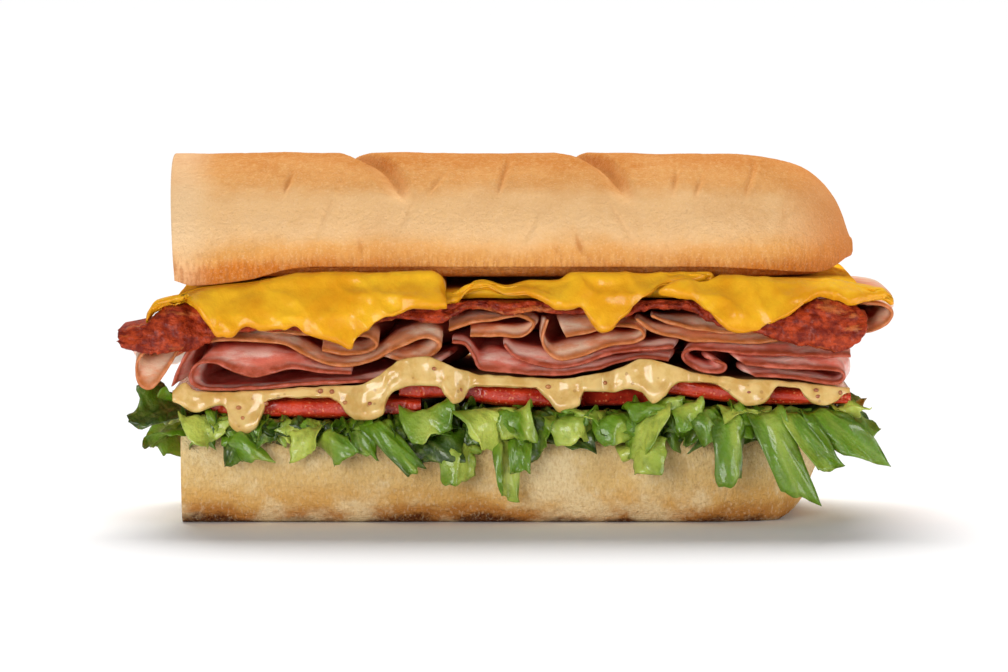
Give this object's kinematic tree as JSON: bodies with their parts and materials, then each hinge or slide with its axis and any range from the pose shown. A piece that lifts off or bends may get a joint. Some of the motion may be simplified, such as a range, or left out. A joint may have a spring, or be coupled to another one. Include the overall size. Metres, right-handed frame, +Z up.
{
  "type": "submarine sandwich",
  "caption": "Half of a long filled bread roll with melted cheese slices, bacon, folded sliced meats, sauce, tomato and torn lettuce, resting on its flat base.",
  "frame": {"origin": "middle of the flat underside of the bottom bun, on the surface that the sandwich rests on", "axes": "+X along the roll towards its rounded end, -Y towards the shown long side, +Z up"},
  "size_m": [0.1734, 0.0953, 0.082],
  "materials": {
    "bun_crust": "golden brown soft crust, slightly glossy on the crown",
    "bun_base": "matt mottled tan crust",
    "cheese": "glossy melted orange-yellow cheese",
    "bacon": "crisp dark red-brown with lighter fat",
    "turkey": "moist pale sliced meat with a browned edge",
    "ham": "moist pink sliced meat with a dark red-brown edge",
    "sauce": "glossy pale yellow sauce with seeds",
    "tomato": "wet red flesh",
    "lettuce": "fresh crisp green leaf"
  },
  "bodies": {
    "root": {"top_bun": "bun_crust", "bottom_bun": "bun_base", "cheese_1": "cheese", "cheese_2": "cheese", "cheese_3": "cheese", "bacon_1": "bacon", "bacon_2": "bacon", "turkey_1": "turkey", "turkey_2": "turkey", "turkey_3": "turkey", "turkey_4": "turkey", "turkey_5": "turkey", "turkey_6": "turkey", "turkey_7": "turkey", "ham_1": "ham", "ham_2": "ham", "ham_3": "ham", "ham_4": "ham", "ham_5": "ham", "ham_6": "ham", "sauce": "sauce", "tomato_1": "tomato", "tomato_2": "tomato", "tomato_3": "tomato", "tomato_4": "tomato", "lettuce": "lettuce"}
  },
  "joints": []
}
